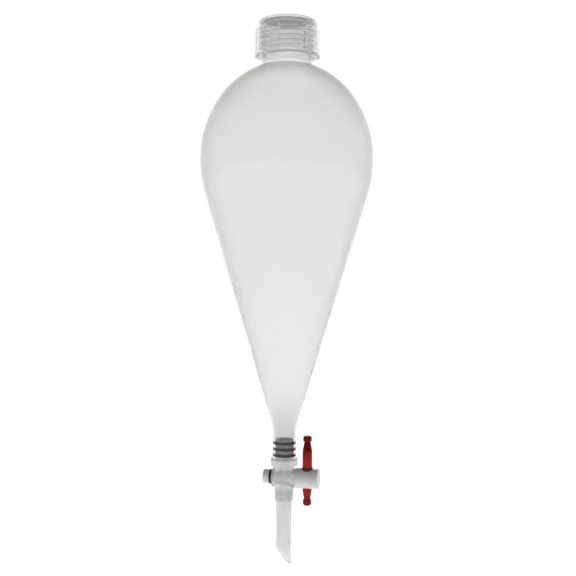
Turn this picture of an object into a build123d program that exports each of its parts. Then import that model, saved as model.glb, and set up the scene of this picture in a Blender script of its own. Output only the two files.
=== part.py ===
from build123d import *
import math
import os

# Separatory funnel of one litre, moulded in translucent plastic, with a screw cap and a plug stopcock.
# Millimetres. +Z runs up the funnel's axis, and +X along the stopcock plug towards its handle.
# The origin is on the funnel's axis, in the plane where the cone rests in a support ring.

# Vessel
ring_bore_radius = 45.0      # bore of the support ring that carries the cone
cone_half_angle = 16.5       # degrees
bulb_radius = 57.0
belly_arc_radius = 84.0      # meridian arc between the widest circle and the cone
shoulder_low_radius = 70.0   # meridian arc above the widest circle
shoulder_high_radius = 56.0  # meridian arc from there to the neck
shoulder_split = 38.0        # degrees of the low arc
vessel_wall = 1.2
neck_radius = 16.4
neck_wall = 1.6
neck_below_cap = 5.2         # from the shoulder to the cap's skirt
neck_root_fillet = 2.0
rim_fillet = 0.5
drain_radius = 7.8
drain_wall = 1.4
drain_above_spigot = 7.5     # straight tube between the cone and the spigot
drain_blend = 24.0

# Neck and cap thread
thread_pitch = 3.2
thread_turns = 4.9
thread_depth = 1.3
thread_base = 1.5
thread_crest = 0.7
thread_clearance = 0.4       # radial, crest to root, on both threads
thread_root_sink = 0.25      # how far a thread's foot is buried in its wall
thread_below_rim = 2.6       # rim to the centre of the last thread

# Cap
cap_wall = 1.3
cap_top = 1.7
cap_edge_fillet = 2.3
cap_thread_lead = 1.17       # bottom of the skirt to the first thread
cap_thread_below = 0.5       # turns that the cap's thread starts below the neck's
cap_thread_turns = 0.4       # turns that the cap's thread has beyond the neck's
cap_bead_out = 2.4           # the bead and the ribs stand out from the skirt
cap_bead_height = 1.6
bead_chamfer_out = 0.8
bead_chamfer_up = 0.7
bead_slope_start = 0.3       # below the bead's top, where it starts to lean in
bead_slope_end = 0.9         # above the bead's top, where it meets the skirt
cap_rib_out = 1.8
cap_rib_width = 4.4
cap_rib_below_top = 5.8
cap_rib_side_fillet = 0.81
cap_rib_crown_fillet = 0.54
cap_rib_count = 6
cap_rib_phase = 20.0         # degrees
liner_thickness = 1.2
liner_gap = 0.05             # liner to rim, and liner to the inside of the cap
liner_side_gap = 0.4

# Spigot that plugs into the drain tube
spigot_gap = 0.5             # radial, spigot to the drain tube's bore
spigot_length = 12.8
spigot_lip = 1.6             # wall left at the mouth of the channel
spigot_lead = 0.5            # rounding at the spigot's top
seal_count = 3
seal_section = 1.78          # thickness of every sealing ring
seal_below_top = 2.4         # spigot's top to the first ring
seal_above_collar = 2.3      # last ring to the collar
seal_groove_gap = 0.2
seal_fit = 0.02              # running gap on rings and in the handle's spot face
channel_radius = 2.55
channel_mouth_depth = 2.0
collar_out = 1.2             # the collar stands out from the drain tube
collar_height = 4.0
collar_gap = 0.12            # collar to the end of the drain tube
collar_fillet = 0.8

# Stopcock
plug_axis_drop = 12.85       # top of the collar to the plug's axis
barrel_wall = 1.6            # at the handle end
barrel_length = 15.5
barrel_edge = 0.4
plug_large_radius = 4.8      # at the handle end of the barrel
plug_small_radius = 3.6      # at the nut end of the barrel
plug_fit = 0.04
plug_port_radius = 2.1
plug_head_out = 0.1          # the head stands out from the barrel
plug_head_length = 15.5
plug_head_fillet = 1.0
plug_head_gap = 0.1
plug_short = 0.4             # the cone ends inside the barrel, so the nut can draw it tight
waist_radius = 6.1
boss_wall = 0.95             # around the delivery tube, at the boss's top
boss_taper = 0.15
boss_above_socket = 1.8      # barrel to the top of the delivery tube's socket
boss_fillet = 0.7

# Nut end of the plug
tail_step = 0.6              # radial, small end of the cone to the tail
tail_root = 0.5              # how far the tail's foot is buried in the cone
tail_thread_depth = 0.5
tail_inset = 0.38            # end of the tail to the outer face of the nut
nut_pitch = 1.0
nut_thread_margin = 1.0      # length of the nut beyond its thread
nut_thread_clearance = 0.2
nut_thread_base = 0.5
nut_thread_crest = 0.2
nut_thread_sink = 0.12
plug_seal_gap = 0.035        # radial, ring to tail
washer_gap = 0.15            # radial, washer to tail
washer_thickness = 0.9
nut_wall = 1.5               # radial, of washer and nut
nut_length = 3.2
nut_fillet = 0.8
end_gap = 0.1                # between barrel, ring, washer and nut

# Handle, turned about a line across the plug's head
handle_radius = 3.1
handle_waist = 0.1           # the body above the head is this much thinner
handle_neck_radius = 2.1
handle_knob_radius = 2.85
handle_foot_radius = 2.75
handle_up = 28.2             # plug axis to the top of the handle
handle_down = 17.5
handle_knob_height = 3.2
handle_foot_height = 3.6
handle_groove = 1.0          # height of the neck under the knob
handle_groove_slope = 0.5
handle_taper_up = 5.6
handle_flange_out = 0.65     # flange that seats in a spot face on the head
handle_flange_rise = 0.5
handle_flange_slope = 0.6
handle_seat_depth = 1.0
handle_press = 0.03          # interference in the head
handle_end_fillet = 1.2
handle_bead_fillet = 0.5
handle_body_fillet = 4.0

# Delivery tube, pressed into the boss
tube_socket_depth = 7.0
tube_top_radius = 5.35
tube_radius = 5.0            # straight part, where hose or a bored stopper fits
tube_taper_length = 18.0
tube_bore_radius = 3.6
tube_length = 41.6           # bottom of the boss to the tip
tube_bevel_angle = 49.5      # degrees from horizontal
tube_press = 0.03

overrun = 1.0                # how far a cutter passes the face it opens

# Radii and lengths that follow from the sizes above
drain_bore = drain_radius - drain_wall
drain_length = drain_above_spigot + spigot_length
spigot_radius = drain_bore - spigot_gap
spigot_seal_bore = 2 * (drain_bore - seal_fit - seal_section)
seal_pitch = (spigot_length - seal_below_top - seal_above_collar) / (seal_count - 1)
channel_mouth_radius = spigot_radius - spigot_lip
collar_radius = drain_radius + collar_out
cap_thread_root = neck_radius + thread_depth + thread_clearance
cap_radius = cap_thread_root + cap_wall
cap_thread_low = thread_below_rim + thread_pitch * (thread_turns + cap_thread_below)
cap_skirt = cap_thread_low + thread_base / 2 + cap_thread_lead
neck_length = cap_skirt + neck_below_cap
barrel_radius = plug_large_radius + barrel_wall
plug_head_radius = barrel_radius + plug_head_out
boss_top_radius = tube_top_radius + boss_wall
boss_bottom_radius = boss_top_radius - boss_taper
boss_drop = barrel_radius + boss_above_socket + tube_socket_depth
tail_radius = plug_small_radius - tail_step
tail_crest = tail_radius + washer_gap - nut_thread_clearance
tail_thread_turns = (nut_length - nut_thread_margin) / nut_pitch
plug_seal_bore = 2 * (tail_radius + plug_seal_gap)
nut_radius = tail_radius + washer_gap + nut_wall

# Heights along the funnel, and places along the plug
tan_cone = math.tan(math.radians(cone_half_angle))
cos_cone = math.cos(math.radians(cone_half_angle))
belly_excess = belly_arc_radius * (1 - cos_cone) / cos_cone
bulb_z = (bulb_radius - ring_bore_radius + belly_excess) / tan_cone
belly_centre = (bulb_radius - belly_arc_radius, bulb_z)
low_centre = (bulb_radius - shoulder_low_radius, bulb_z)
arc_step = shoulder_low_radius - shoulder_high_radius
high_centre = (low_centre[0] + arc_step * math.cos(math.radians(shoulder_split)),
               low_centre[1] + arc_step * math.sin(math.radians(shoulder_split)))
neck_base_z = high_centre[1] + math.sqrt(shoulder_high_radius ** 2 - (neck_radius - high_centre[0]) ** 2)
rim_z = neck_base_z + neck_length
cap_bottom_z = rim_z - cap_skirt
cap_top_z = rim_z + 2 * liner_gap + liner_thickness + cap_top
drain_end_z = (drain_radius - ring_bore_radius) / tan_cone - drain_length
collar_top_z = drain_end_z - collar_gap
spigot_top_z = collar_top_z + spigot_length
plug_z = collar_top_z - plug_axis_drop
boss_end_z = plug_z - boss_drop
barrel_half = barrel_length / 2
cone_end_x = barrel_half - plug_short
handle_x = barrel_half + plug_head_gap + plug_head_length / 2
seal_x = barrel_half + end_gap + seal_section / 2
washer_x = seal_x + seal_section / 2 + end_gap
nut_x = washer_x + washer_thickness + end_gap
tail_end_x = nut_x + nut_length - tail_inset


def profile(*points):
    """Closed face in the XZ plane from radius and height pairs."""
    return make_face(Plane.XZ * Polyline(*points, close=True))


def turned(face):
    return revolve(face, Axis.Z)


def standing(radius, height, bottom):
    """Cylinder about +Z that stands on the height given."""
    return Pos(0, 0, bottom + height / 2) * Cylinder(radius, height)


def round_corners(face, radius, *corners):
    """Fillet the corners of an XZ face that are nearest to the given radius and height pairs."""
    for r, z in corners:
        face = fillet(face.vertices().sort_by_distance((r, 0, z))[0:1], radius)
    return face


def along_x(shape):
    """Turn a shape made about +Z so that it lies about +X through the plug's axis."""
    return Pos(0, 0, plug_z) * Rot(0, 90, 0) * shape


def thread(foot_radius, crest_radius, base, crest, pitch, turns, start_z):
    """Right-hand helical rib about +Z with a trapezium section."""
    path = Helix(pitch, pitch * turns, foot_radius, center=(0, 0, start_z))
    section = profile((foot_radius, start_z - base / 2), (crest_radius, start_z - crest / 2),
                      (crest_radius, start_z + crest / 2), (foot_radius, start_z + base / 2))
    return sweep(section, path=path, is_frenet=True)


def arc_point(centre, radius, degrees):
    angle = math.radians(degrees)
    return (centre[0] + radius * math.cos(angle), centre[1] + radius * math.sin(angle))


def meridian_arc(centre, radius, start, end):
    """Arc of the vessel's outline between two angles above the horizontal."""
    return ThreePointArc(*[arc_point(centre, radius, a) for a in (start, (start + end) / 2, end)])


def vessel_body(wall, neck_r, drain_r, top_z, bottom_z):
    """The vessel's envelope, drawn in from the outside by a wall, as one turned solid."""
    cone_z = (drain_r + wall / cos_cone - ring_bore_radius) / tan_cone
    belly = meridian_arc(belly_centre, belly_arc_radius - wall, -cone_half_angle, 0)
    low = meridian_arc(low_centre, shoulder_low_radius - wall, 0, shoulder_split)
    high_radius = shoulder_high_radius - wall
    neck_angle = math.degrees(math.acos((neck_r - high_centre[0]) / high_radius))
    high = meridian_arc(high_centre, high_radius, shoulder_split, neck_angle)
    neck_z = arc_point(high_centre, high_radius, neck_angle)[1]
    belly_start = arc_point(belly_centre, belly_arc_radius - wall, -cone_half_angle)
    lower = Polyline((0, bottom_z), (drain_r, bottom_z), (drain_r, cone_z), belly_start)
    upper = Polyline((neck_r, neck_z), (neck_r, top_z), (0, top_z), (0, bottom_z))
    face = make_face(Plane.XZ * (lower + belly + low + high + upper))
    face = round_corners(face, neck_root_fillet, (neck_r, neck_z))
    face = round_corners(face, drain_blend, (drain_r, cone_z))
    return turned(face)


def funnel_vessel():
    outside = vessel_body(0, neck_radius, drain_radius, rim_z, drain_end_z)
    inside = vessel_body(vessel_wall, neck_radius - neck_wall, drain_bore,
                         rim_z + overrun, drain_end_z - overrun)
    shell = outside - inside
    rim = shell.edges().filter_by(GeomType.CIRCLE).group_by(Axis.Z)[-1]
    shell = fillet(rim, rim_fillet)
    start = rim_z - thread_below_rim - thread_pitch * thread_turns
    rib = thread(neck_radius - thread_root_sink, neck_radius + thread_depth,
                 thread_base, thread_crest, thread_pitch, thread_turns, start)
    return shell + rib


def cap_rib():
    """One grip rib with a rounded top, from the bead up to below the cap's edge."""
    height = cap_top_z - cap_rib_below_top - cap_bottom_z
    depth = cap_rib_out + cap_wall / 2
    block = Pos(cap_radius + cap_rib_out - depth / 2, 0, cap_bottom_z + height / 2)
    block *= Box(depth, cap_rib_width, height)
    outer = block.edges().filter_by(Axis.Z).group_by(Axis.X)[-1]
    block = fillet(outer, cap_rib_side_fillet)
    crown = block.edges().group_by(Axis.Z)[-1].sort_by(Axis.X)[-3:]
    return fillet(crown, cap_rib_crown_fillet)


def screw_cap():
    bead_r = cap_radius + cap_bead_out
    bead_top = cap_bottom_z + cap_bead_height
    outer = profile((0, cap_bottom_z), (bead_r - bead_chamfer_out, cap_bottom_z),
                    (bead_r, cap_bottom_z + bead_chamfer_up), (bead_r, bead_top - bead_slope_start),
                    (cap_radius, bead_top + bead_slope_end), (cap_radius, cap_top_z), (0, cap_top_z))
    shell = turned(round_corners(outer, cap_edge_fillet, (cap_radius, cap_top_z)))
    for k in range(cap_rib_count):
        shell += Rot(0, 0, cap_rib_phase + k * 360 / cap_rib_count) * cap_rib()
    shell -= standing(cap_thread_root, cap_top_z - cap_top - cap_bottom_z, cap_bottom_z)
    rib = thread(cap_thread_root + thread_root_sink, neck_radius + thread_clearance,
                 thread_base, thread_crest, thread_pitch, thread_turns + cap_thread_turns,
                 rim_z - cap_thread_low)
    return shell + rib


def cap_liner():
    return standing(cap_thread_root - liner_side_gap, liner_thickness, rim_z + liner_gap)


def o_ring(bore):
    """Sealing ring lying flat about +Z."""
    return Torus((bore + seal_section) / 2, seal_section / 2)


def seal_height(k):
    """Height of the spigot's ring number k, counted from the top."""
    return spigot_top_z - seal_below_top - k * seal_pitch


def spigot_seal(k):
    return Pos(0, 0, seal_height(k)) * o_ring(spigot_seal_bore)


def housing_column():
    """Spigot, collar, waist and boss, all round the funnel's axis."""
    collar_bottom = collar_top_z - collar_height
    face = profile((0, spigot_top_z), (spigot_radius, spigot_top_z), (spigot_radius, collar_top_z),
                   (collar_radius, collar_top_z), (collar_radius, collar_bottom),
                   (waist_radius, collar_bottom - collar_radius + waist_radius), (waist_radius, plug_z),
                   (boss_top_radius, plug_z), (boss_bottom_radius, boss_end_z), (0, boss_end_z))
    face = round_corners(face, collar_fillet, (collar_radius, collar_top_z), (collar_radius, collar_bottom))
    face = round_corners(face, boss_fillet, (boss_bottom_radius, boss_end_z))
    face = round_corners(face, spigot_lead, (spigot_radius, spigot_top_z))
    column = turned(face)
    groove_height = seal_section + 2 * seal_groove_gap
    groove = Cylinder(spigot_radius + overrun, groove_height)
    groove -= Cylinder(spigot_seal_bore / 2 - seal_fit, groove_height)
    for k in range(seal_count):
        column -= Pos(0, 0, seal_height(k)) * groove
    return column


def plug_cone(gap, left, right):
    """The plug's cone about +X, grown by a gap, between two distances along the axis."""
    slope = (plug_large_radius - plug_small_radius) / barrel_length
    middle = (plug_large_radius + plug_small_radius) / 2
    return along_x(turned(profile((0, left), (middle + slope * left + gap, left),
                                  (middle + slope * right + gap, right), (0, right))))


def stopcock_housing():
    barrel = along_x(Cylinder(barrel_radius, barrel_length))
    barrel = fillet(barrel.edges().filter_by(GeomType.CIRCLE), barrel_edge)
    body = housing_column() + barrel
    socket_top = boss_end_z + tube_socket_depth
    channel = profile((0, spigot_top_z + overrun), (channel_mouth_radius, spigot_top_z + overrun),
                      (channel_mouth_radius, spigot_top_z),
                      (channel_radius, spigot_top_z - channel_mouth_depth),
                      (channel_radius, socket_top), (tube_top_radius, socket_top),
                      (tube_top_radius, boss_end_z - overrun), (0, boss_end_z - overrun))
    body -= turned(channel)
    return body - plug_cone(plug_fit, -barrel_half - overrun, barrel_half + overrun)


def delivery_tube():
    top = boss_end_z + tube_socket_depth
    tip = boss_end_z - tube_length
    push = tube_top_radius + tube_press
    outside = profile((0, top), (push, top), (push, boss_end_z),
                      (tube_radius, boss_end_z - tube_taper_length), (tube_radius, tip), (0, tip))
    tube = turned(outside) - standing(tube_bore_radius, top - tip + 2 * overrun, tip - overrun)
    bevel = math.radians(tube_bevel_angle)
    cut = Plane(origin=(tube_radius, 0, tip), z_dir=(math.sin(bevel), 0, math.cos(bevel)))
    return split(tube, bisect_by=cut, keep=Keep.TOP)


def stopcock_plug():
    body = plug_cone(0, -cone_end_x, barrel_half + plug_head_gap)
    head = Cylinder(plug_head_radius, plug_head_length)
    head = fillet(head.edges().group_by(Axis.Z)[-1], plug_head_fillet)
    body += along_x(Pos(0, 0, handle_x) * head)
    core = tail_crest - tail_thread_depth
    root = tail_root - cone_end_x
    shoulder = end_gap - nut_x
    tail = profile((0, root), (tail_radius, root), (tail_radius, shoulder),
                   (core, shoulder), (core, -tail_end_x), (0, -tail_end_x))
    rib = thread(core - nut_thread_sink, tail_crest, nut_thread_base, nut_thread_crest,
                 nut_pitch, tail_thread_turns, nut_thread_base - tail_end_x)
    body += along_x(turned(tail) + rib)
    body -= Pos(0, 0, plug_z) * Cylinder(plug_port_radius, 4 * plug_large_radius)
    seat = standing(handle_radius + handle_flange_out, handle_up, plug_head_radius - handle_seat_depth)
    hole = Cylinder(handle_radius - handle_press, 4 * plug_head_radius) + seat
    return body - Pos(handle_x, 0, plug_z) * hole


def plug_handle():
    knob_bottom = handle_up - handle_knob_height
    neck_bottom = knob_bottom - handle_groove
    foot_top = handle_foot_height - handle_down
    flange_top = plug_head_radius + handle_flange_rise
    flange = handle_radius + handle_flange_out - seal_fit
    seat = plug_head_radius - handle_seat_depth
    shoulder = (handle_radius - handle_waist, neck_bottom - handle_taper_up)
    face = profile((0, handle_up), (handle_knob_radius, handle_up), (handle_knob_radius, knob_bottom),
                   (handle_neck_radius, knob_bottom - handle_groove_slope),
                   (handle_neck_radius, neck_bottom), shoulder,
                   (handle_radius, flange_top + handle_flange_slope), (flange, flange_top), (flange, seat),
                   (handle_radius, seat), (handle_radius, -plug_head_radius),
                   (handle_neck_radius, foot_top + handle_flange_slope), (handle_foot_radius, foot_top),
                   (handle_foot_radius, -handle_down), (0, -handle_down))
    face = round_corners(face, handle_end_fillet, (handle_knob_radius, handle_up),
                         (handle_foot_radius, -handle_down))
    face = round_corners(face, handle_bead_fillet, (handle_knob_radius, knob_bottom),
                         (handle_foot_radius, foot_top))
    face = round_corners(face, handle_body_fillet, shoulder)
    return Pos(handle_x, 0, plug_z) * turned(face)


def plug_o_ring():
    return along_x(Pos(0, 0, -seal_x) * o_ring(plug_seal_bore))


def plug_washer():
    disc = Cylinder(nut_radius, washer_thickness) - Cylinder(tail_radius + washer_gap, washer_thickness)
    return along_x(Pos(0, 0, -washer_x - washer_thickness / 2) * disc)


def tension_nut():
    root = tail_crest + nut_thread_clearance
    crest = root - tail_thread_depth
    nut = Cylinder(nut_radius, nut_length)
    nut = fillet(nut.edges().group_by(Axis.Z)[0], nut_fillet) - Cylinder(root, nut_length)
    half_turn_back = nut_thread_base - nut_pitch / 2 - tail_end_x
    rib = thread(root + nut_thread_sink, crest, nut_thread_base, nut_thread_crest,
                 nut_pitch, tail_thread_turns, half_turn_back)
    return along_x(Pos(0, 0, -nut_x - nut_length / 2) * nut + rib)


parts = {
    "funnel_vessel": funnel_vessel(),
    "screw_cap": screw_cap(),
    "cap_liner": cap_liner(),
    "stopcock_housing": stopcock_housing(),
    "delivery_tube": delivery_tube(),
    "stopcock_plug": stopcock_plug(),
    "plug_handle": plug_handle(),
    "plug_o_ring": plug_o_ring(),
    "plug_washer": plug_washer(),
    "tension_nut": tension_nut(),
}
for k, place in enumerate(("upper", "middle", "lower")):
    parts[f"spigot_o_ring_{place}"] = spigot_seal(k)

os.makedirs("parts", exist_ok=True)
for name, shape in parts.items():
    shape.label = name
    export_step(shape, f"parts/{name}.step")
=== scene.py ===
import math
import bmesh
import bpy
from mathutils import Matrix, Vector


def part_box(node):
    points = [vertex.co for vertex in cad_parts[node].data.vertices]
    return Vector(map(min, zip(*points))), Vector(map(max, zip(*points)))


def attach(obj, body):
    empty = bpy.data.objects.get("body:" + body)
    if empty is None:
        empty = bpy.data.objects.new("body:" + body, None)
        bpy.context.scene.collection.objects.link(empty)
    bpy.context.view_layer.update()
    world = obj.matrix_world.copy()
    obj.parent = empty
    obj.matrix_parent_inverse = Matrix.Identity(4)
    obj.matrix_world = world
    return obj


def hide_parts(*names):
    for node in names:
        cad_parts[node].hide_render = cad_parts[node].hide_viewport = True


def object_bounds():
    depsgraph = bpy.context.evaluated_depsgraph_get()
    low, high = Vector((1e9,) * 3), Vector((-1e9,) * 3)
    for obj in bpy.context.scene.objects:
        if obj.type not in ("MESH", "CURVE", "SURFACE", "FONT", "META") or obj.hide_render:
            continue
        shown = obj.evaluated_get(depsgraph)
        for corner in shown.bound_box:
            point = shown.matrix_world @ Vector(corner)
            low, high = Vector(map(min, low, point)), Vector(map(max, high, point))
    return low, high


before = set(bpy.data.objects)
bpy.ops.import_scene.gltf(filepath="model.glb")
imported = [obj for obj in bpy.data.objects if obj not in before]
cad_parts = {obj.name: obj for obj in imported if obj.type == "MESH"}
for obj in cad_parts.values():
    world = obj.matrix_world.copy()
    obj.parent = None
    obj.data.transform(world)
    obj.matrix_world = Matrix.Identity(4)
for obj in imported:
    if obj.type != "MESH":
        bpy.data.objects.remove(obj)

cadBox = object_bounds()
print("frame loaded with", len(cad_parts), "CAD nodes")

mm = 0.001           # meshes are drawn in millimetres and scaled once, in finishPiece
fullTurn = 2 * math.pi
mergeGap = 0.0005    # corners nearer to each other than this become one
sealPlaces = ("upper", "middle", "lower")


def cadSpan(node):                           # corners of a CAD node's box, in millimetres
    low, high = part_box(node)
    return low / mm, high / mm


vesselLow, vesselHigh = cadSpan("funnel_vessel")
capLow, capHigh = cadSpan("screw_cap")
linerLow, linerHigh = cadSpan("cap_liner")
housingLow, housingHigh = cadSpan("stopcock_housing")
tubeLow, tubeHigh = cadSpan("delivery_tube")
plugLow = cadSpan("stopcock_plug")[0]
handleLow, handleHigh = cadSpan("plug_handle")
washerLow, washerHigh = cadSpan("plug_washer")
nutLow, nutHigh = cadSpan("tension_nut")
plugZ = (nutLow.z + nutHigh.z) / 2           # the stopcock plug lies along X at this height
handleX = (handleLow.x + handleHigh.x) / 2


def drawOutline(bm, points, closed=True):    # points are (radius, height) in the XZ plane
    verts = [bm.verts.new((r, 0, z)) for r, z in points]
    for a, b in zip(verts, verts[1:]):
        bm.edges.new((a, b))
    if closed:
        bm.edges.new((verts[-1], verts[0]))
    return verts


def roundCorners(bm, verts, radius, segments=5):
    for v in verts:
        a, b = [e.other_vert(v).co - v.co for e in v.link_edges]
        reach = radius / math.tan(a.angle(b) / 2)
        bmesh.ops.bevel(bm, geom=[v], offset=reach, offset_type="OFFSET", segments=segments,
                        profile=0.5, affect="VERTICES", material=-1)


def spinOutline(bm, steps):                  # turns everything drawn so far about Z
    bmesh.ops.spin(bm, geom=bm.verts[:] + bm.edges[:], cent=(0, 0, 0), axis=(0, 0, 1),
                   angle=fullTurn, steps=steps, use_merge=True)
    bmesh.ops.remove_doubles(bm, verts=bm.verts, dist=mergeGap)
    bmesh.ops.recalc_face_normals(bm, faces=bm.faces)


def turned(points, steps, rounds=(), closed=True):   # rounds holds (radius, corner number, ...)
    bm = bmesh.new()
    verts = drawOutline(bm, points, closed)
    for radius, *corners in rounds:
        roundCorners(bm, [verts[k] for k in corners], radius)
    spinOutline(bm, steps)
    return bm


def threadRib(foot, crest, base, tip, pitch, turns, startZ, steps):
    bm = bmesh.new()
    verts = drawOutline(bm, [(foot, startZ - base / 2), (crest, startZ - tip / 2),
                             (crest, startZ + tip / 2), (foot, startZ + base / 2)])
    face = bm.faces.new(verts)
    bmesh.ops.spin(bm, geom=[face] + bm.verts[:] + bm.edges[:], cent=(0, 0, 0), axis=(0, 0, 1),
                   dvec=(0, 0, pitch / steps), angle=fullTurn * turns, steps=round(steps * turns))
    bmesh.ops.remove_doubles(bm, verts=bm.verts, dist=mergeGap)
    bmesh.ops.recalc_face_normals(bm, faces=bm.faces)
    return bm


def lieAlongX(bm):                           # from about Z at the origin to about X on the plug's line
    place = Matrix.Translation((0, 0, plugZ)) @ Matrix.Rotation(math.pi / 2, 4, "Y")
    bmesh.ops.transform(bm, matrix=place, verts=bm.verts)
    return bm


def combined(bm, other, how):                # UNION or DIFFERENCE of two closed shapes
    pair = []
    for shape in (bm, other):
        mesh = bpy.data.meshes.new("shape")
        shape.to_mesh(mesh)
        shape.free()
        pair.append(bpy.data.objects.new("shape", mesh))
        bpy.context.scene.collection.objects.link(pair[-1])
    boolean = pair[0].modifiers.new("join", "BOOLEAN")
    boolean.operation = how
    boolean.object = pair[1]
    boolean.solver = "EXACT"
    graph = bpy.context.evaluated_depsgraph_get()
    out = bmesh.new()
    out.from_mesh(pair[0].evaluated_get(graph).to_mesh())
    for shape in pair:
        bpy.data.objects.remove(shape)
    bmesh.ops.remove_doubles(out, verts=out.verts, dist=mergeGap)
    return out


def finishPiece(bm, name, body, nodes, material, sharp=32):
    bmesh.ops.scale(bm, vec=(mm, mm, mm), verts=bm.verts)
    limit = math.radians(sharp)
    for face in bm.faces:
        face.smooth = True
    for edge in bm.edges:
        edge.smooth = len(edge.link_faces) != 2 or edge.calc_face_angle() < limit
    mesh = bpy.data.meshes.new(name)
    bm.to_mesh(mesh)
    bm.free()
    mesh.materials.append(material)
    piece = bpy.data.objects.new(name, mesh)
    bpy.context.scene.collection.objects.link(piece)
    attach(piece, body)
    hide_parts(*nodes)
    print("made", name, "with", len(mesh.polygons), "faces")


class Wire:                                  # one output of a shader node, for use in plain sums
    def __init__(self, sheet, socket):
        self.sheet = sheet
        self.socket = socket

    def sum(self, how, a, b):
        return self.sheet.node("ShaderNodeMath", {"operation": how}, {0: a, 1: b})

    def __add__(self, other):
        return self.sum("ADD", self, other)

    def __sub__(self, other):
        return self.sum("SUBTRACT", self, other)

    def __rsub__(self, other):
        return self.sum("SUBTRACT", other, self)

    def __mul__(self, other):
        return self.sum("MULTIPLY", self, other)

    __radd__ = __add__
    __rmul__ = __mul__


class Sheet:                                 # the nodes of one material, or of the world
    def __init__(self, owner):
        self.owner = owner
        owner.use_nodes = True
        self.tree = owner.node_tree
        self.tree.nodes.clear()

    def node(self, kind, settings=None, values=None, out=0):
        made = self.tree.nodes.new(kind)
        for key, value in (settings or {}).items():
            setattr(made, key, value)
        for key, value in (values or {}).items():
            if isinstance(value, Wire):
                self.tree.links.new(value.socket, made.inputs[key])
            else:
                made.inputs[key].default_value = value
        if made.outputs:
            return Wire(self, made.outputs[out])

    def place(self, out="Object"):
        return self.node("ShaderNodeTexCoord", out=out)

    def noise(self, scale, detail=3, rough=0.5, stretch=(1, 1, 1), distortion=0.0):
        where = self.node("ShaderNodeMapping", None, {"Vector": self.place(), "Scale": stretch})
        return self.node("ShaderNodeTexNoise", None, {"Vector": where, "Scale": scale, "Detail": detail,
                                                      "Roughness": rough, "Distortion": distortion})

    def blendColour(self, factor, low, high):
        return self.node("ShaderNodeMix", {"data_type": "RGBA"}, {0: factor, 6: low, 7: high}, out=2)

    def bump(self, height, strength, distance):
        return self.node("ShaderNodeBump", None,
                         {"Height": height, "Strength": strength, "Distance": distance})

    def surface(self, shader):
        self.node("ShaderNodeOutputMaterial", None, {"Surface": shader})
        return self.owner


def newSheet(name):
    return Sheet(bpy.data.materials.new(name))


def rgba(r, g, b):
    return (r, g, b, 1)


def heightMask(sheet, clear, full):          # 0 at the height clear, 1 at the height full, in millimetres
    height = sheet.node("ShaderNodeSeparateXYZ", None, {"Vector": sheet.place()}, out=2)
    ends = {"Value": height, "From Min": clear * mm, "From Max": full * mm, "To Min": 0.0, "To Max": 1.0}
    if clear > full:
        ends.update({"From Min": full * mm, "From Max": clear * mm, "To Min": 1.0, "To Max": 0.0})
    return sheet.node("ShaderNodeMapRange", {"interpolation_type": "SMOOTHSTEP"}, ends)


moulded = dict(milkLow=0.8, milkSpread=0.4, grainRough=0.03)     # the same for all four clear plastics


def clearPlastic(name, look):                # see-through, with some milk in it
    sheet = newSheet(name)
    cloud = sheet.noise(look["cloudScale"], 2, 0.5, look["cloudStretch"])
    grain = sheet.noise(look["grainScale"], 4, 0.6)
    colour = sheet.blendColour(cloud, look["shade"], look["tint"])
    rough = look["rough"]
    milk = look["milk"] * (moulded["milkLow"] + moulded["milkSpread"] * cloud)
    relief = cloud * look["waveHeight"] + grain * look["grainHeight"]
    bump = sheet.bump(relief, 1.0, mm)
    veil = sheet.node("ShaderNodeBsdfTranslucent", None, {"Color": look["milkColour"], "Normal": bump})
    if "drain" in look:                      # thicker towards the drain, and polished there for the seals
        drain = heightMask(sheet, *look["drain"])
        neck = heightMask(sheet, *look["neck"])
        colour = sheet.blendColour(drain, colour, look["drainTint"])
        rough = rough + drain * (look["drainRough"] - rough)
        milk = milk * (1 - drain) * (1 - neck)
        veil = sheet.node("ShaderNodeBsdfDiffuse", None, {"Color": look["milkColour"], "Normal": bump})
    if "stainAndPaintedShade" in look:                      # a band of painted shade round the collar at its groove, and the clearer boss below
        milk = milk * (1 - look["bossClear"] * heightMask(sheet, *look["boss"]))
        # the base colour turns dark in this band: painted shade
        stainAndPaintedShade = heightMask(sheet, *look["stainAndPaintedShade"][:2]) * heightMask(sheet, *look["stainAndPaintedShade"][2:])
        colour = sheet.blendColour(stainAndPaintedShade, colour, look["paintedShadeTint"])
    rough = rough + look["roughSpread"] * (cloud - 0.5) + moulded["grainRough"] * (grain - 0.5)
    clear = sheet.node("ShaderNodeBsdfPrincipled", None, {
        "Base Color": colour, "Roughness": rough, "IOR": look["ior"],
        "Transmission Weight": 1.0, "Normal": bump})
    return sheet.surface(sheet.node("ShaderNodeMixShader", None, {0: milk, 1: clear, 2: veil}))


vesselLook = dict(tint=rgba(0.99, 0.995, 0.985), shade=rgba(0.965, 0.972, 0.96), rough=0.20,
                  drainTint=rgba(0.74, 0.75, 0.74), drainRough=0.04, drain=(-96, -131), neck=(104, 113),
                  roughSpread=0.06, ior=1.49, milk=0.09, milkColour=rgba(0.93, 0.94, 0.93),
                  cloudScale=22, cloudStretch=(1, 1, 0.45), grainScale=900, waveHeight=0.06,
                  grainHeight=0.004)
capLook = dict(tint=rgba(0.95, 0.955, 0.95), shade=rgba(0.90, 0.905, 0.90), rough=0.15, roughSpread=0.05,
               ior=1.40, milk=0.05, milkColour=rgba(0.99, 0.99, 0.98), cloudScale=60,
               cloudStretch=(1, 1, 0.3), grainScale=1400, waveHeight=0.03, grainHeight=0.003)
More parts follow.
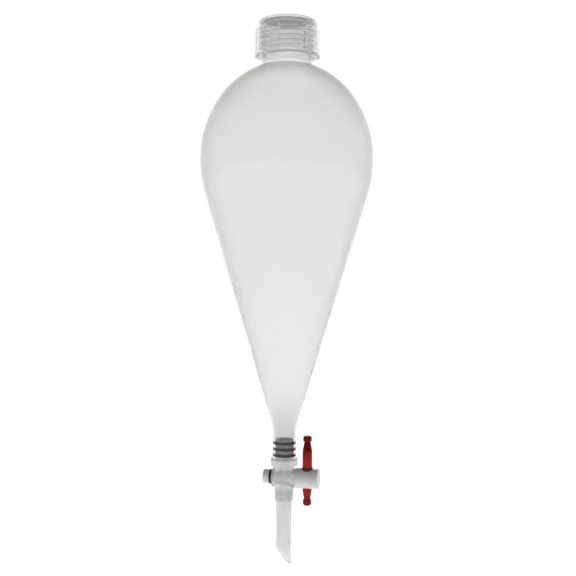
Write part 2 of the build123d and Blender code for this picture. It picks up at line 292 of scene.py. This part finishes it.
# the housing's dark band round the collar is painted shade
housingLook = dict(tint=rgba(1.0, 1.0, 1.0), shade=rgba(0.965, 0.97, 0.98), rough=0.34, roughSpread=0.10,
                   ior=1.5, milk=0.42, milkColour=rgba(1.0, 1.0, 1.0), stainAndPaintedShade=(-145.6, -145.9, -147.4, -146.8),
                   paintedShadeTint=rgba(0.30, 0.28, 0.26), boss=(-163, -168), bossClear=0.75, cloudScale=110,
                   cloudStretch=(1, 1, 1), grainScale=1800, waveHeight=0.02, grainHeight=0.004)
tubeLook = dict(tint=rgba(0.95, 0.955, 0.955), shade=rgba(0.91, 0.92, 0.92), rough=0.10, roughSpread=0.05,
                ior=1.49, milk=0.30, milkColour=rgba(0.93, 0.94, 0.935), cloudScale=90,
                cloudStretch=(1, 1, 0.12), grainScale=1500, waveHeight=0.02, grainHeight=0.003)

vesselPlastic = clearPlastic("vessel_plastic", vesselLook)
capPlastic = clearPlastic("cap_plastic", capLook)
housingPlastic = clearPlastic("stopcock_plastic", housingLook)
tubePlastic = clearPlastic("tube_plastic", tubeLook)


rubberLook = dict(deep=rgba(0.004, 0.004, 0.004), pale=rgba(0.014, 0.014, 0.015), bloomScale=160,
                  grainScale=2600, rough=0.42, roughSpread=0.2, specular=0.2, relief=0.4, grainHeight=0.02)


def rubberMaterial(look):                    # black rubber with a faint bloom
    sheet = newSheet("seal_rubber")
    bloom = sheet.noise(look["bloomScale"], 4, 0.6)
    grain = sheet.noise(look["grainScale"], 3, 0.7)
    shader = sheet.node("ShaderNodeBsdfPrincipled", None, {
        "Base Color": sheet.blendColour(bloom, look["deep"], look["pale"]),
        "Roughness": look["rough"] + look["roughSpread"] * bloom, "Specular IOR Level": look["specular"],
        "Normal": sheet.bump(grain, look["relief"], look["grainHeight"] * mm)})
    return sheet.surface(shader)


lathe = dict(cloudScale=140, stainScale=420, cloudShare=0.7, markShare=0.5, roughSpread=0.12, ior=1.38,
             under=0.25, underReach=(1.2, 1.2, 1.1), relief=0.35, markHeight=0.03)
plugLook = dict(light=rgba(0.84, 0.84, 0.83), dark=rgba(0.76, 0.76, 0.755), rough=0.42, ridgePitch=0.35)
washerLook = dict(light=rgba(0.90, 0.90, 0.89), dark=rgba(0.83, 0.83, 0.82), rough=0.45, ridgePitch=0.25)
nutLook = dict(light=rgba(0.84, 0.84, 0.84), dark=rgba(0.74, 0.75, 0.75), rough=0.38, ridgePitch=0.4)


def turnedWhite(name, look):                 # waxy white with fine lathe marks across X
    sheet = newSheet(name)
    along = sheet.node("ShaderNodeSeparateXYZ", None, {"Vector": sheet.place()})
    ridges = along * (fullTurn / (look["ridgePitch"] * mm))
    marks = sheet.node("ShaderNodeMath", {"operation": "SINE"}, {0: ridges})
    cloud = sheet.noise(lathe["cloudScale"], 3, 0.55)
    stainAndPaintedShade = sheet.noise(lathe["stainScale"], 4, 0.6)
    tone = cloud * lathe["cloudShare"] + stainAndPaintedShade * (1 - lathe["cloudShare"])
    shader = sheet.node("ShaderNodeBsdfPrincipled", None, {
        "Base Color": sheet.blendColour(tone, look["dark"], look["light"]),
        "Roughness": look["rough"] + lathe["roughSpread"] * (cloud - 0.5), "IOR": lathe["ior"],
        "Subsurface Weight": lathe["under"], "Subsurface Radius": lathe["underReach"],
        "Subsurface Scale": mm,
        "Normal": sheet.bump(marks * lathe["markShare"] + stainAndPaintedShade, lathe["relief"], lathe["markHeight"] * mm)})
    return sheet.surface(shader)


# the handle's glow colour is painted light: a brighter red near the plug's axis
rubyLook = dict(deep=rgba(0.10, 0.0012, 0.0008), glow=rgba(0.34, 0.012, 0.008), paintedGlowFrom=22, paintedGlowTo=5,
                paintedGlowShare=0.85, swirlShare=0.3, swirlScale=90, scuffScale=700, rough=0.12, roughSpread=0.10,
                ior=1.25, specular=0.1, through=0.95, relief=0.5, reliefHeight=0.05)


def rubyMaterial(look):                      # deep red see-through handle, with a painted glow that makes it brighter beside the white head
    sheet = newSheet("handle_ruby")
    swirl = sheet.noise(look["swirlScale"], 3, 0.5, (1, 1, 0.35), 0.6)
    scuff = sheet.noise(look["scuffScale"], 4, 0.6)
    height = sheet.node("ShaderNodeSeparateXYZ", None, {"Vector": sheet.place()}, out=2)
    away = sheet.node("ShaderNodeMath", {"operation": "ABSOLUTE"}, {0: height - plugZ * mm})
    # painted glow: the base colour turns brighter red towards the plug's axis, beside the white head
    glow = sheet.node("ShaderNodeMapRange", {"interpolation_type": "SMOOTHSTEP"}, {
        "Value": away, "From Min": look["paintedGlowTo"] * mm, "From Max": look["paintedGlowFrom"] * mm,
        "To Min": 1.0, "To Max": 0.0})
    tone = glow * look["paintedGlowShare"] + look["swirlShare"] * (swirl - 0.5)
    relief = swirl + look["swirlShare"] * scuff
    shader = sheet.node("ShaderNodeBsdfPrincipled", None, {
        "Base Color": sheet.blendColour(tone, look["deep"], look["glow"]),
        "Roughness": look["rough"] + look["roughSpread"] * scuff, "IOR": look["ior"],
        "Specular IOR Level": look["specular"], "Transmission Weight": look["through"],
        "Normal": sheet.bump(relief, look["relief"], look["reliefHeight"] * mm)})
    return sheet.surface(shader)


foamLook = dict(dark=rgba(0.90, 0.90, 0.89), light=rgba(0.96, 0.96, 0.95), inner=rgba(0.97, 0.97, 0.96),
                cellScale=1600, toneScale=120, rough=0.75, roughSpread=0.1, relief=0.6, cellHeight=0.1,
                through=0.6)


def foamMaterial(look):                      # fine cells, with light coming through them
    sheet = newSheet("liner_foam")
    cells = sheet.node("ShaderNodeTexVoronoi", None, {"Vector": sheet.place(), "Scale": look["cellScale"]})
    tone = sheet.noise(look["toneScale"], 3)
    bump = sheet.bump(cells, look["relief"], look["cellHeight"] * mm)
    skin = sheet.node("ShaderNodeBsdfPrincipled", None, {
        "Base Color": sheet.blendColour(tone, look["dark"], look["light"]),
        "Roughness": look["rough"] + look["roughSpread"] * tone, "Normal": bump})
    inside = sheet.node("ShaderNodeBsdfTranslucent", None, {"Color": look["inner"], "Normal": bump})
    return sheet.surface(sheet.node("ShaderNodeMixShader", None, {0: look["through"], 1: skin, 2: inside}))


sealRubber = rubberMaterial(rubberLook)
plugWhite = turnedWhite("plug_white", plugLook)
washerWhite = turnedWhite("washer_white", washerLook)
nutWhite = turnedWhite("nut_white", nutLook)
handleRuby = rubyMaterial(rubyLook)
linerFoam = foamMaterial(foamLook)
print("materials ready")


# the vessel is turned from one outline, and the neck's thread is joined on
vessel = dict(ringBore=45.0, coneHalfAngle=16.5, bulbRadius=57.0, bellyArc=84.0, lowArc=70.0,
              highArc=56.0, arcSplit=38.0, wall=1.2, neckRadius=16.4, neckWall=1.6, neckRound=2.0,
              rimRound=0.5, drainRadius=7.8, drainWall=1.4, drainBlend=24.0,
              steps=192, bellySteps=8, lowSteps=18, highSteps=24)
thread = dict(pitch=3.2, turns=4.9, depth=1.3, base=1.5, tip=0.7, clearance=0.4, sink=0.25, belowRim=2.6,
              steps=96)


def arcPoints(centre, radius, start, end, count):    # angles in degrees above the horizontal
    angles = [math.radians(start + (end - start) * k / count) for k in range(count + 1)]
    return [(centre[0] + radius * math.cos(a), centre[1] + radius * math.sin(a)) for a in angles]


def vesselOutline(v, wall, neckRadius, drainRadius):     # from the drain's end up to the rim
    slope = math.radians(v["coneHalfAngle"])
    split = math.radians(v["arcSplit"])
    bulbZ = (v["bulbRadius"] - v["ringBore"] + v["bellyArc"] * (1 / math.cos(slope) - 1)) / math.tan(slope)
    belly = (v["bulbRadius"] - v["bellyArc"], bulbZ)
    low = (v["bulbRadius"] - v["lowArc"], bulbZ)
    step = v["lowArc"] - v["highArc"]
    high = (low[0] + step * math.cos(split), low[1] + step * math.sin(split))
    coneZ = (drainRadius + wall / math.cos(slope) - v["ringBore"]) / math.tan(slope)
    neckAngle = math.degrees(math.acos((neckRadius - high[0]) / (v["highArc"] - wall)))
    points = [(drainRadius, vesselLow.z), (drainRadius, coneZ)]
    points += arcPoints(belly, v["bellyArc"] - wall, -v["coneHalfAngle"], 0, v["bellySteps"])
    points += arcPoints(low, v["lowArc"] - wall, 0, v["arcSplit"], v["lowSteps"])[1:]
    points += arcPoints(high, v["highArc"] - wall, v["arcSplit"], neckAngle, v["highSteps"])[1:]
    return points + [(neckRadius, vesselHigh.z)]


def makeVessel(v, t):
    outside = vesselOutline(v, 0, v["neckRadius"], v["drainRadius"])
    inside = vesselOutline(v, v["wall"], v["neckRadius"] - v["neckWall"], v["drainRadius"] - v["drainWall"])
    last = len(outside) - 1
    points = outside + inside[::-1]
    rounds = [(v["drainBlend"], 1, len(points) - 2), (v["neckRound"], last - 1, last + 2),
              (v["rimRound"], last, last + 1)]
    shell = turned(points, v["steps"], rounds)
    startZ = vesselHigh.z - t["belowRim"] - t["pitch"] * t["turns"]
    rib = threadRib(v["neckRadius"] - t["sink"], v["neckRadius"] + t["depth"], t["base"], t["tip"],
                    t["pitch"], t["turns"], startZ, t["steps"])
    shell = combined(shell, rib, "UNION")
    finishPiece(shell, "vessel_shell", "vessel", ["funnel_vessel"], vesselPlastic)


makeVessel(vessel, thread)


# the cap is turned, and its grip ribs and inner thread are joined on
cap = dict(wall=1.3, edgeRound=2.3, beadHeight=1.6, beadOut=2.4, beadChamfer=(0.8, 0.7), beadSlope=(0.3, 0.9),
           ribOut=1.8, ribWidth=4.4, ribBelowTop=5.8, ribRound=0.6, ribCount=6, ribPhase=20.0,
           beadRound=0.3, rimRound=0.25, insideRound=0.5, top=1.7, lead=1.17, extraTurns=0.4, steps=168)
liner = dict(round=0.3, steps=96)


def gripRibs(c, radius):
    ribs = bmesh.new()
    depth = c["ribOut"] + c["wall"] / 2
    height = capHigh.z - c["ribBelowTop"] - capLow.z - c["beadHeight"] / 2
    for k in range(c["ribCount"]):
        rib = bmesh.new()
        bmesh.ops.create_cube(rib, size=1)
        bmesh.ops.scale(rib, vec=(depth, c["ribWidth"], height), verts=rib.verts)
        outer = [e for e in rib.edges if min(v.co.x for v in e.verts) > 0
                 and max(v.co.z for v in e.verts) > 0]
        bmesh.ops.bevel(rib, geom=outer, offset=c["ribRound"], offset_type="OFFSET", segments=4,
                        profile=0.5, affect="EDGES", material=-1)
        middle = (radius + c["ribOut"] - depth / 2, 0, capHigh.z - c["ribBelowTop"] - height / 2)
        spot = Matrix.Rotation(math.radians(c["ribPhase"]) + fullTurn * k / c["ribCount"], 4, "Z")
        bmesh.ops.transform(rib, matrix=spot @ Matrix.Translation(middle), verts=rib.verts)
        mesh = bpy.data.meshes.new("rib")
        rib.to_mesh(mesh)
        rib.free()
        ribs.from_mesh(mesh)
    return ribs


def makeCap(c, v, t):
    root = v["neckRadius"] + t["depth"] + t["clearance"]
    radius = root + c["wall"]
    bead = radius + c["beadOut"]
    beadTop = capLow.z + c["beadHeight"]
    points = [(0, capHigh.z), (radius, capHigh.z), (radius, beadTop + c["beadSlope"][1]),
              (bead, beadTop - c["beadSlope"][0]), (bead, capLow.z + c["beadChamfer"][1]),
              (bead - c["beadChamfer"][0], capLow.z), (root, capLow.z),
              (root, capHigh.z - c["top"]), (0, capHigh.z - c["top"])]
    shell = turned(points, c["steps"], [(c["edgeRound"], 1), (c["beadRound"], 2, 3, 4, 5),
                                         (c["rimRound"], 6), (c["insideRound"], 7)], closed=False)
    startZ = capLow.z + c["lead"] + t["base"] / 2
    rib = threadRib(root + t["sink"], v["neckRadius"] + t["clearance"], t["base"], t["tip"],
                    t["pitch"], t["turns"] + c["extraTurns"], startZ, t["steps"])
    shell = combined(shell, gripRibs(c, radius), "UNION")
    shell = combined(shell, rib, "UNION")
    finishPiece(shell, "screw_cap_shell", "cap", ["screw_cap"], capPlastic)


def makeLiner(d):
    radius = linerHigh.x
    disc = turned([(0, linerHigh.z), (radius, linerHigh.z), (radius, linerLow.z), (0, linerLow.z)],
                  d["steps"], [(d["round"], 1, 2)], closed=False)
    finishPiece(disc, "cap_liner_disc", "cap_seal", ["cap_liner"], linerFoam)


makeCap(cap, vessel, thread)
makeLiner(liner)


# three rings on the spigot, and one at the plug's small end
ring = dict(section=1.78, sides=24, steps=128, flash=0.05, flashNear=0.01, press=0.6, bulge=1.06)


def sealRing(r, bore, pressed):              # lies flat about Z at the origin
    bm = bmesh.new()
    turn = Matrix.Rotation(math.pi / 2, 4, "X")
    centre = bore + r["section"] / 2
    bmesh.ops.create_circle(bm, cap_ends=False, segments=r["sides"], radius=r["section"] / 2,
                            matrix=Matrix.Translation((centre, 0, 0)) @ turn)
    for v in bm.verts:                       # the faint parting line all round a moulded ring
        if abs(v.co.z) < r["flashNear"]:
            v.co.x += math.copysign(r["flash"], v.co.x - centre)
        if pressed:                          # squeezed into a flat band against the drain tube's bore
            wide = centre + (v.co.x - centre) * (1 + 2 * r["press"])
            v.co.x = max(bore, min(wide, pressed))
            v.co.z *= r["bulge"]
    spinOutline(bm, r["steps"])
    return bm


def makeRings(r):
    for place in sealPlaces:
        low, high = cadSpan(f"spigot_o_ring_{place}")
        bore = vessel["drainRadius"] - vessel["drainWall"]
        seal = sealRing(r, high.x - r["section"], bore + r["flash"])
        bmesh.ops.translate(seal, vec=(0, 0, (low.z + high.z) / 2), verts=seal.verts)
        finishPiece(seal, f"spigot_seal_{place}", "stopcock",
                    [f"spigot_o_ring_{place}"], sealRubber, sharp=60)
    low, high = cadSpan("plug_o_ring")
    seal = sealRing(r, high.y - r["section"], None)
    bmesh.ops.translate(seal, vec=(0, 0, (low.x + high.x) / 2), verts=seal.verts)
    finishPiece(lieAlongX(seal), "plug_seal", "plug", ["plug_o_ring"], sealRubber, sharp=60)


makeRings(ring)


# an upright column with a barrel across it, hollowed out for the flow and for the plug
housing = dict(spigotRadius=5.9, spigotLead=0.5, spigotLength=12.8, collarRadius=9.0, collarHeight=4.0,
               collarRound=0.8, grooveDrop=0.9, grooveWidth=0.5, grooveDepth=0.3, grooveLean=0.3,
               grooveRound=0.15, seatRound=0.12, seamWidth=0.4, seamReach=6.3, seamRound=0.1,
               waistRadius=6.1, barrelRadius=6.4, barrelLength=15.5, barrelRound=0.4,
               bossTop=6.3, bossBottom=6.15, bossRound=0.7, channel=2.55, mouth=4.3, mouthDepth=2.0,
               socket=5.37, socketDepth=7.0, grooveFloor=4.58, grooveHeight=2.18, plugLarge=4.8,
               plugSmall=3.6, plugFit=0.04, overrun=1.0, steps=96)


def plugCone(h, grow, left, right, steps):   # about Z, before it is laid along X
    slope = (h["plugLarge"] - h["plugSmall"]) / h["barrelLength"]
    middle = (h["plugLarge"] + h["plugSmall"]) / 2
    ends = [(middle + slope * x + grow, x) for x in (left, right)]
    return turned([(0, left)] + ends + [(0, right)], steps, closed=False)


def makeHousing(h):
    top, end = housingHigh.z, housingLow.z
    collarTop = top - h["spigotLength"]
    collarLow = collarTop - h["collarHeight"]
    points = [(0, top), (h["spigotRadius"], top)]
    for place in sealPlaces:
        low, high = cadSpan(f"spigot_o_ring_{place}")
        for side in (1, -1):
            z = (low.z + high.z) / 2 + side * h["grooveHeight"] / 2
            pair = [(h["spigotRadius"], z), (h["grooveFloor"], z)]
            points += pair[::side]
    grooveTop = collarTop - h["grooveDrop"]
    grooveIn = h["collarRadius"] - h["grooveDepth"]
    lean = h["grooveWidth"] * h["grooveLean"]
    points += [(h["spigotRadius"], collarTop), (h["collarRadius"], collarTop), (h["collarRadius"], grooveTop),
               (grooveIn, grooveTop - lean), (grooveIn, grooveTop - h["grooveWidth"] + lean),
               (h["collarRadius"], grooveTop - h["grooveWidth"]), (h["collarRadius"], collarLow),
               (h["waistRadius"], collarLow - h["collarRadius"] + h["waistRadius"]),
               (h["waistRadius"], plugZ), (h["bossTop"], plugZ), (h["bossBottom"], end), (0, end)]
    rounds = [(h["spigotLead"], 1), (h["collarRound"], -11, -6), (h["grooveRound"], -10, -7),
              (h["bossRound"], -2), (h["seatRound"], *range(2, 14))]
    column = turned(points, h["steps"], rounds, closed=False)
    half = h["barrelLength"] / 2
    barrel = turned([(0, half), (h["barrelRadius"], half), (h["barrelRadius"], -half), (0, -half)],
                    h["steps"], [(h["barrelRound"], 1, 2)], closed=False)
    body = combined(column, lieAlongX(barrel), "UNION")
    seam = bmesh.new()                       # the mould's parting line, front and back
    bmesh.ops.create_cube(seam, size=1)
    seamHeight = collarLow - end - 2 * h["bossRound"]
    bmesh.ops.scale(seam, vec=(h["seamWidth"], 2 * h["seamReach"], seamHeight), verts=seam.verts)
    bmesh.ops.translate(seam, vec=(0, 0, (collarLow + end) / 2), verts=seam.verts)
    bmesh.ops.bevel(seam, geom=seam.edges[:], offset=h["seamRound"], offset_type="OFFSET", segments=3,
                    profile=0.5, affect="EDGES", material=-1)
    body = combined(body, seam, "UNION")
    over = h["overrun"]
    socketTop = end + h["socketDepth"]
    channel = turned([(0, top + over), (h["mouth"], top + over), (h["mouth"], top),
                      (h["channel"], top - h["mouthDepth"]), (h["channel"], socketTop),
                      (h["socket"], socketTop), (h["socket"], end - over), (0, end - over)],
                     h["steps"], closed=False)
    body = combined(body, channel, "DIFFERENCE")
    bore = lieAlongX(plugCone(h, h["plugFit"], -half - over, half + over, h["steps"]))
    body = combined(body, bore, "DIFFERENCE")
    finishPiece(body, "housing_body", "stopcock", ["stopcock_housing"], housingPlastic)


makeHousing(housing)


# the tube stands in the boss under the barrel
tube = dict(topRadius=5.31, radius=5.0, taperLength=18.0, bore=3.6, socketDepth=7.0, bevelAngle=49.5,
            endRound=0.3, steps=96)


def makeTube(t):
    bossEnd = tubeHigh.z - t["socketDepth"]
    points = [(t["topRadius"], tubeHigh.z), (t["topRadius"], bossEnd),
              (t["radius"], bossEnd - t["taperLength"]), (t["radius"], tubeLow.z),
              (t["bore"], tubeLow.z), (t["bore"], tubeHigh.z)]
    bm = turned(points, t["steps"], [(t["endRound"], 0, 5)])
    bevel = math.radians(t["bevelAngle"])    # the slanted tip, cut off and closed again
    bmesh.ops.bisect_plane(bm, geom=bm.verts[:] + bm.edges[:] + bm.faces[:],
                           plane_co=(t["radius"], 0, tubeLow.z),
                           plane_no=(-math.sin(bevel), 0, -math.cos(bevel)), clear_outer=True)
    edges = [e for e in bm.edges if len(e.link_faces) == 1]
    bmesh.ops.bridge_loops(bm, edges=edges)
    bmesh.ops.recalc_face_normals(bm, faces=bm.faces)
    finishPiece(bm, "delivery_tube_body", "stopcock", ["delivery_tube"], tubePlastic)


makeTube(tube)


# the plug is a cone with a head and a threaded tail, pierced for the flow and for the handle
plug = dict(headRadius=6.5, headLength=15.5, headRound=0.8, headFoot=0.15, headGap=0.1, ringFrom=1.6,
            ringWidth=2.0, ringDepth=0.3, ringRound=0.14, short=0.4, tailRadius=3.0, tailRoot=0.5,
            tailRound=0.25, endGap=0.1, threadDepth=0.5, crest=2.95, pitch=1.0, turns=2.2, base=0.5,
            tip=0.2, sink=0.12, threadSteps=48, port=2.1, portReach=10, portSteps=48, handleHole=3.17,
            seat=3.75, seatDepth=1.0, holeReach=20, holeSteps=64, steps=96)
nut = dict(radius=4.65, round=0.8, root=3.15, rim=0.25, steps=72)
washer = dict(radius=4.65, bore=3.15, round=0.2, steps=72)


def makePlug(p, h):
    half = h["barrelLength"] / 2
    cone = plugCone(h, 0, p["short"] - half, half + p["headGap"], p["steps"])
    headLow = half + p["headGap"]
    headHigh = headLow + p["headLength"]
    ringHigh = headHigh - p["ringFrom"]      # a shallow turned band near the head's end
    ringLow = ringHigh - p["ringWidth"]
    ringIn = p["headRadius"] - p["ringDepth"]
    head = turned([(0, headHigh), (p["headRadius"], headHigh), (p["headRadius"], ringHigh),
                   (ringIn, ringHigh), (ringIn, ringLow), (p["headRadius"], ringLow),
                   (p["headRadius"], headLow), (0, headLow)], p["steps"],
                  [(p["headRound"], 1), (p["ringRound"], 2, 3, 4, 5), (p["headFoot"], 6)], closed=False)
    shoulder = p["endGap"] + nutHigh.x
    core = p["crest"] - p["threadDepth"]
    root = p["tailRoot"] + p["short"] - half
    tail = turned([(0, root), (p["tailRadius"], root), (p["tailRadius"], shoulder), (core, shoulder),
                   (core, plugLow.x), (0, plugLow.x)], p["steps"], [(p["tailRound"], 4)], closed=False)
    rib = threadRib(core - p["sink"], p["crest"], p["base"], p["tip"], p["pitch"], p["turns"],
                    plugLow.x + p["base"], p["threadSteps"])
    body = combined(cone, head, "UNION")
    body = combined(body, combined(tail, rib, "UNION"), "UNION")
    body = lieAlongX(body)
    reach = p["portReach"]                   # the way through, straight down when the plug is open
    port = turned([(0, reach), (p["port"], reach), (p["port"], -reach), (0, -reach)], p["portSteps"],
                  closed=False)
    bmesh.ops.translate(port, vec=(0, 0, plugZ), verts=port.verts)
    body = combined(body, port, "DIFFERENCE")
    floor = p["headRadius"] - p["seatDepth"]
    reach = p["holeReach"]
    hole = turned([(0, reach), (p["seat"], reach), (p["seat"], floor), (p["handleHole"], floor),
                   (p["handleHole"], -reach), (0, -reach)], p["holeSteps"], closed=False)
    bmesh.ops.translate(hole, vec=(handleX, 0, plugZ), verts=hole.verts)
    body = combined(body, hole, "DIFFERENCE")
    finishPiece(body, "plug_core", "plug", ["stopcock_plug"], plugWhite)


def makeWasher(w):
    low, high = washerLow.x, washerHigh.x
    disc = turned([(w["bore"], low), (w["radius"], low), (w["radius"], high), (w["bore"], high)],
                  w["steps"], [(w["round"], 1, 2)])
    finishPiece(lieAlongX(disc), "washer_disc", "washer", ["plug_washer"], washerWhite)


def makeNut(n, p):
    low, high = nutLow.x, nutHigh.x
    body = turned([(n["root"], low), (n["radius"], low), (n["radius"], high), (n["root"], high)],
                  n["steps"], [(n["round"], 1), (n["rim"], 0, 2, 3)])
    rib = threadRib(n["root"] + p["sink"], n["root"] - p["threadDepth"], p["base"], p["tip"], p["pitch"],
                    p["turns"], plugLow.x + p["base"] - p["pitch"] / 2, p["threadSteps"])
    body = combined(body, rib, "UNION")
    finishPiece(lieAlongX(body), "nut_body", "nut", ["tension_nut"], nutWhite)


makePlug(plug, housing)
makeWasher(washer)
makeNut(nut, plug)


# one turned bar, pushed through the plug's head
handle = dict(radius=3.2, body=3.15, neck=2.1, knob=2.85, foot=2.75, knobHeight=3.2, footHeight=3.6,
              groove=1.0, grooveSlope=0.5, taper=5.6, flange=3.73, flangeRise=0.5, flangeSlope=0.6,
              seatDepth=1.0, endRound=1.2, beadRound=0.5, bodyRound=4.0, neckRound=0.25, flangeRound=0.2,
              headRadius=6.5, steps=72)


def makeHandle(h):
    top, bottom = handleHigh.z, handleLow.z
    headTop, headLow = plugZ + h["headRadius"], plugZ - h["headRadius"]
    knobLow = top - h["knobHeight"]
    neckLow = knobLow - h["groove"]
    footTop = bottom + h["footHeight"]
    flangeTop = headTop + h["flangeRise"]
    seat = headTop - h["seatDepth"]
    points = [(0, top), (h["knob"], top), (h["knob"], knobLow), (h["neck"], knobLow - h["grooveSlope"]),
              (h["neck"], neckLow), (h["body"], neckLow - h["taper"]),
              (h["radius"], flangeTop + h["flangeSlope"]), (h["flange"], flangeTop), (h["flange"], seat),
              (h["radius"], seat), (h["radius"], headLow), (h["neck"], footTop + h["flangeSlope"]),
              (h["foot"], footTop), (h["foot"], bottom), (0, bottom)]
    rounds = [(h["endRound"], 1, 13), (h["beadRound"], 2, 12), (h["neckRound"], 3, 4, 11),
              (h["bodyRound"], 5), (h["flangeRound"], 7)]
    bm = turned(points, h["steps"], rounds, closed=False)
    bmesh.ops.translate(bm, vec=(handleX, 0, 0), verts=bm.verts)
    finishPiece(bm, "handle_bar", "plug", ["plug_handle"], handleRuby)


makeHandle(handle)


# pale floor, soft light from behind, and the camera
studio = dict(floorDrop=350, floorRadius=10.0, floorSides=64, floorRough=0.9, glow=0.75,
              floorDark=rgba(0.90, 0.90, 0.90), floorLight=rgba(0.93, 0.93, 0.93), white=rgba(1, 1, 1),
              azimuth=12.0, front=0.10, back=1.05, frontEnd=-0.7, backEnd=0.8,
              top=0.28, topStart=0.25, topEnd=0.8, through=0.5)


def makeFloor(s):
    bm = bmesh.new()
    bmesh.ops.create_circle(bm, cap_ends=True, segments=s["floorSides"], radius=s["floorRadius"])
    bmesh.ops.translate(bm, vec=(0, 0, cadBox[0].z - s["floorDrop"] * mm), verts=bm.verts)
    mesh = bpy.data.meshes.new("floor")
    bm.to_mesh(mesh)
    bm.free()
    sheet = newSheet("floor_white")
    tone = sheet.blendColour(sheet.noise(3, 2), s["floorDark"], s["floorLight"])
    shader = sheet.node("ShaderNodeBsdfPrincipled", None, {
        "Base Color": tone, "Roughness": s["floorRough"], "Emission Color": s["white"],
        "Emission Strength": s["glow"]})
    mesh.materials.append(sheet.surface(shader))
    floor = bpy.data.objects.new("floor", mesh)
    bpy.context.scene.collection.objects.link(floor)


def makeSky(s):                              # pale all round, brightest behind the object and dim overhead
    sheet = Sheet(bpy.data.worlds.new("studio"))
    bpy.context.scene.world = sheet.owner
    ray = sheet.place("Generated")
    x, y, z = [sheet.node("ShaderNodeSeparateXYZ", None, {"Vector": ray}, out=k) for k in range(3)]
    turn = math.radians(s["azimuth"])
    behind = y * math.cos(turn) - x * math.sin(turn)     # 1 straight behind the object, -1 before it
    level = sheet.node("ShaderNodeMapRange", {"interpolation_type": "SMOOTHSTEP"},
                       {"Value": behind, "From Min": s["frontEnd"], "From Max": s["backEnd"],
                        "To Min": s["front"], "To Max": s["back"]})
    up = sheet.node("ShaderNodeMapRange", {"interpolation_type": "SMOOTHSTEP"},
                    {"Value": z, "From Min": s["topStart"], "From Max": s["topEnd"],
                     "To Min": 0.0, "To Max": 1.0})
    glow = level * (1 - up) + s["top"] * up
    through = s["through"] * sheet.node("ShaderNodeLightPath", out="Is Transmission Ray")
    glow = glow * (1 - through) + through    # what shines through the plastic is paler all round
    light = sheet.node("ShaderNodeBackground", None, {"Color": s["white"], "Strength": glow})
    plain = sheet.node("ShaderNodeBackground", None, {"Color": s["white"], "Strength": 1.0})
    seen = sheet.node("ShaderNodeLightPath", out="Is Camera Ray")
    both = sheet.node("ShaderNodeMixShader", None, {0: seen, 1: light, 2: plain})
    sheet.node("ShaderNodeOutputWorld", None, {"Surface": both})


shot = dict(distance=0.573, azimuth=12.0, height=-0.0126, lens=53.9, shiftX=0.0037, shiftY=-0.0538,
            roll=0.456)


def makeCamera(s):
    lens = bpy.data.cameras.new("camera")
    lens.lens = s["lens"]
    lens.shift_x = s["shiftX"]
    lens.shift_y = s["shiftY"]
    turn = math.radians(s["azimuth"])
    camera = bpy.data.objects.new("camera", lens)
    camera.location = (s["distance"] * math.sin(turn), -s["distance"] * math.cos(turn), s["height"])
    facing = Matrix.Rotation(turn, 4, "Z") @ Matrix.Rotation(math.pi / 2, 4, "X")
    camera.rotation_euler = (facing @ Matrix.Rotation(math.radians(s["roll"]), 4, "Z")).to_euler()
    bpy.context.scene.collection.objects.link(camera)
    bpy.context.scene.camera = camera


makeFloor(studio)
makeSky(studio)
makeCamera(shot)
scene = bpy.context.scene
scene.view_settings.view_transform = "Standard"
scene.cycles.max_bounces = 32                # many thin clear walls lie behind each other
scene.cycles.transmission_bounces = 24
scene.cycles.glossy_bounces = 12
scene.cycles.diffuse_bounces = 8
print("studio ready")
